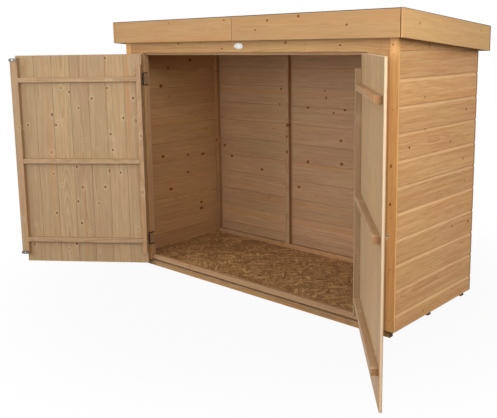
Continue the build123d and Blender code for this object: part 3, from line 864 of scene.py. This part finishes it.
# The upright that covers the gap between the doors, rebated over the right door
rng = random.Random(63)
width = MEETING[1] - MEETING[0]
length = MEETING_ENDS[1] - MEETING_ENDS[0]
past, seat, nick = MEETING[1] - DOOR[1], TIMBER - MEETING_GAP, 0.5
section = [(0, ARRIS), (nick, nick), (ARRIS, 0), (width - ARRIS, 0), (width - nick, nick),
           (width, ARRIS), (width, TIMBER), (past, TIMBER), (past, seat), (0, seat)]
meeting = plank(rng, (MEETING[1], DOOR_BACK + TIMBER, MEETING_ENDS[0]), UP, FRONT,
                section, [(0, *FREE), (length, *FREE)], stray_knots(rng, length, width, 0.8))
assemble("meeting_upright", [meeting], DOOR_WOOD, ("left_meeting_stile",),
         "left_door", LEFT)

# Metal
for material, names in (
        (HINGE_STEEL, ("jamb_leaves", "left_hinge_leaves", "right_hinge_leaves")),
        (YELLOW_ZINC, ("bolt_plate", "bolt_keep", "bolt_bar")),
        (ZINC, ("lower_turn_button", "upper_turn_button")),
        (SCREW_STEEL, ("button_screws",)),
        (OSB, ("floor_board", "roof_board")), (FELT_FACE, ("roof_felt",))):
    for name in names:
        nodes[name].data.materials.clear()
        nodes[name].data.materials.append(material)


def ring_faces(rings, count, start=0):
    """Faces of a closed shape whose points lie in rings one after another."""
    faces, last = [], start + (rings - 1) * count
    for r in range(start, last, count):
        for i in range(count):
            a, b = r + i, r + (i + 1) % count
            faces.append((a, b, b + count, a + count))
    return faces + [tuple(range(last, last + count)), tuple(range(start, start + count))[::-1]]


# Fasteners
def round_heads(name, spots, normal, head, material, body="shelter", place=None):
    """Heads of nails or screws on one face. A screw's has a recess for the driver."""
    radius, rise, recess = head
    out = Vector(normal)
    side = out.orthogonal().normalized()
    over = out.cross(side)
    rings = [(1.0, -0.3), (1.0, 0.4 * rise), (0.8, 0.85 * rise), (0.45, rise)]
    rings += [(0.3, rise - recess)] if recess else []
    points, faces, count = [], [], 10
    for spot in spots:
        faces += ring_faces(len(rings), count, len(points))
        for share, height in rings:
            for i in range(count):
                angle = 2 * math.pi * i / count
                reach = share * radius
                points.append((Vector(spot) + out * height + side * reach * math.cos(angle)
                               + over * reach * math.sin(angle)) / 1000)
    settle(name, new_mesh(name, points, faces, material), (), body, place)


# Nails 30 mm up each wall board, at the posts and battens, as far up as the fascias
rows = [foot + 30 for foot in wall_feet(ROOF_TOP)[1:]]
covered = ROOF_BOARD + FASCIA[1] + 9
post = FRAME_FACE - TIMBER / 2
for side, sign in SIDES:
    spots = [(sign * SIDE, y, z) for z in rows for y in (-post, post) if z < roof_at(y, covered)]
    round_heads(f"{side}_wall_nails", spots, (sign, 0, 0), NAIL, NAIL_STEEL)
    # Up the corner trim, up the panel and at the header's joints with the frame
    spots = [(sign * (INNER - TIMBER / 2), -FACE, z) for z in range(90, 1340, 240)]
    spots += [(sign * (OPENING + TIMBER / 2), -FACE, z) for z in range(60, 1300, 245)]
    spots += [(sign * x, -FACE, z) for x in (850, 430) for z in (1316, 1342)]
    round_heads(f"{side}_front_nails", spots, FRONT, NAIL, NAIL_STEEL)
spots = [(x, FACE, z) for z in rows if z < roof_at(FACE, covered)
         for x in (-INNER + TIMBER / 2, -BATTEN, BATTEN, INNER - TIMBER / 2)]
round_heads("back_wall_nails", spots, DEEP, NAIL, NAIL_STEEL)
# Round the edge of the felt
spots = [(x, y, roof_at(y) + FELT) for x in range(-960, 970, 160) for y in (-415, 388)]
spots += [(x, y, roof_at(y) + FELT) for x in (-975, 975) for y in range(-300, 350, 150)]
lean = Vector((0, math.sin(math.atan(FALL)), math.cos(math.atan(FALL))))
round_heads("felt_clout_nails", spots, lean, CLOUT, ZINC)

board = (DOOR[1] - DOOR[0]) / DOOR_BOARDS
inner = DOOR[0] + STILE_WIDTH
stile_x = DOOR[0] + STILE_WIDTH / 2
leaf_spots = [(h + z, y) for h in HINGES for z, y in LEAF_SCREWS]
for (side, sign), place in zip(SIDES, (LEFT, RIGHT)):
    # Two nails in each board at each ledge, and a row up the hinge upright
    across = [DOOR[0] + (k + 0.5) * board + dx for k in range(DOOR_BOARDS) for dx in (-30, 30)]
    spots = [(x, DOOR_FRONT, z) for x in across for z in LEDGES if inner < x < -50]
    spots += [(stile_x, DOOR_FRONT, z) for z in range(140, 1200, 175)]
    round_heads(f"{side}_door_nails", spots, FRONT, NAIL, NAIL_STEEL, f"{side}_door", place)
    spots = [(DOOR[0], y, z) for z, y in leaf_spots]
    round_heads(f"{side}_door_hinge_screws", spots, (-1, 0, 0), SCREW, SCREW_STEEL,
                f"{side}_door", place)
    spots = [(sign * OPENING, y, z) for z, y in leaf_spots]
    round_heads(f"{side}_jamb_hinge_screws", spots, (-sign, 0, 0), SCREW, SCREW_STEEL)
for name, xs, body, place in (("plate", BOLT_PLATE, "right_door", RIGHT),
                              ("keep", BOLT_KEEP, "left_door", LEFT)):
    spots = [(x, DOOR_FRONT - 2, BOLT_HEIGHT + dz) for x in xs for dz in (-10, 10)]
    round_heads(f"bolt_{name}_screws", spots, FRONT, BOLT_SCREW, SCREW_STEEL, body, place)


def badge_shell():
    """Plain oval badge with a raised rim round a slightly domed face."""
    rings = [(1.0, 0.0), (1.0, 2.2), (0.975, 2.9), (0.93, 3.0), (0.89, 2.7), (0.87, 1.9),
             (0.6, 2.4), (0.3, 2.7)]
    points, count = [], 48
    for share, height in rings:
        for i in range(count):
            angle = 2 * math.pi * i / count
            points.append(Vector((BADGE_SIZE[0] / 2 * share * math.cos(angle), -FACE - height,
                                  BADGE_HEIGHT + BADGE_SIZE[1] / 2 * share * math.sin(angle)))
                          / 1000)
    mesh = new_mesh("badge_shell", points, ring_faces(len(rings), count), BADGE)
    settle("badge_shell", mesh, ("badge",))


badge_shell()


# Ground, light and camera
def camera_sees(t):
    """1 for what the camera sees straight, in a mirror or through glass, else 0."""
    path = add(t, "LightPath").node.outputs
    seen = add(t, "Math:MAXIMUM", [path["Is Camera Ray"], path["Is Glossy Ray"]])
    return add(t, "Math:MAXIMUM", [seen, path["Is Transmission Ray"]])


def ground():
    """Pale studio floor. The camera sees it nearly white, with the shadow of what stands on it,
    and quite white further off."""
    material, t = blank("pale_studio_floor")
    place = add(t, "TexCoord", out="Object")
    away = add(t, "VectorMath:LENGTH", [place], out="Value")
    veil = add(t, "MapRange", [away, 1.0, 2.0, 0.95, 1.0], **SMOOTH)
    share = add(t, "Math:MULTIPLY", [camera_sees(t), veil])
    floor = add(t, "BsdfDiffuse", {"Color": (0.2, 0.19, 0.17, 1)})
    glow = add(t, "Emission", {"Color": (1, 1, 1, 1), "Strength": 1.0})
    shader = add(t, "MixShader", [share, floor, glow])
    add(t, "OutputMaterial", {"Surface": shader})
    far = 14.0  # metres from the middle to each edge
    corners = [(-far, -far, 0), (far, -far, 0), (far, far, 0), (-far, far, 0)]
    mesh = new_mesh("studio_floor", corners, [(0, 1, 2, 3)], material)
    floor = bpy.data.objects.new("studio_floor", mesh)
    bpy.context.scene.collection.objects.link(floor)


def sky(low, high):
    """White room, which gives more light from its ceiling than from its walls."""
    world = bpy.data.worlds.new("studio")
    world.use_nodes = True
    t = world.node_tree
    t.nodes.clear()
    place = add(t, "TexCoord", out="Generated")
    _, _, height = add(t, "SeparateXYZ", [place]).node.outputs
    level = add(t, "MapRange", [height, 0.0, 0.9, low, high])
    room = add(t, "Background", {"Color": (0.97, 0.985, 1, 1), "Strength": level})
    white = add(t, "Background", {"Color": (1, 1, 1, 1), "Strength": 1.0})
    both = add(t, "MixShader", [camera_sees(t), room, white])
    add(t, "OutputWorld", {"Surface": both})
    bpy.context.scene.world = world


def softbox(name, place, aim, size, watts):
    """A round lamp, of a size in metres, that lights where it is aimed."""
    lamp = bpy.data.lights.new(name, "AREA")
    lamp.shape = "DISK"
    lamp.size = size
    lamp.energy = watts
    box = bpy.data.objects.new(name, lamp)
    box.location = place
    box.rotation_euler = (Vector(aim) - Vector(place)).to_track_quat("-Z", "Y").to_euler()
    bpy.context.scene.collection.objects.link(box)


ground()
sky(0.45, 0.95)
softbox("key", (2.9, -1.6, 2.1), (0.9, -0.2, 1.15), 1.4, 53)
softbox("fill", (-3.0, -4.2, 2.0), (-0.3, -0.3, 1.05), 2.5, 57)
softbox("front", (0.2, -3.8, 1.4), (0, 0, 1.0), 1.8, 43)

forward = Vector((-math.sin(YAW) * math.cos(PITCH), math.cos(YAW) * math.cos(PITCH),
                  math.sin(PITCH)))
right = forward.cross(Vector(UP)).normalized()
up = right.cross(forward)
across = math.cos(ROLL) * right + math.sin(ROLL) * up
upward = -math.sin(ROLL) * right + math.cos(ROLL) * up
lens = bpy.data.cameras.new("camera")
lens.sensor_fit = "HORIZONTAL"
lens.sensor_width = SENSOR
lens.lens = FOCAL / PHOTO[0] * SENSOR
lens.shift_x = (PHOTO[0] / 2 - CENTRE[0]) / PHOTO[0]
lens.shift_y = (CENTRE[1] - PHOTO[1] / 2) / PHOTO[0]
camera = bpy.data.objects.new("camera", lens)
turned = Matrix((across, upward, -forward)).transposed().to_4x4()
camera.matrix_world = Matrix.Translation(EYE) @ turned
bpy.context.scene.collection.objects.link(camera)
bpy.context.scene.camera = camera
bpy.context.scene.view_settings.view_transform = "Standard"
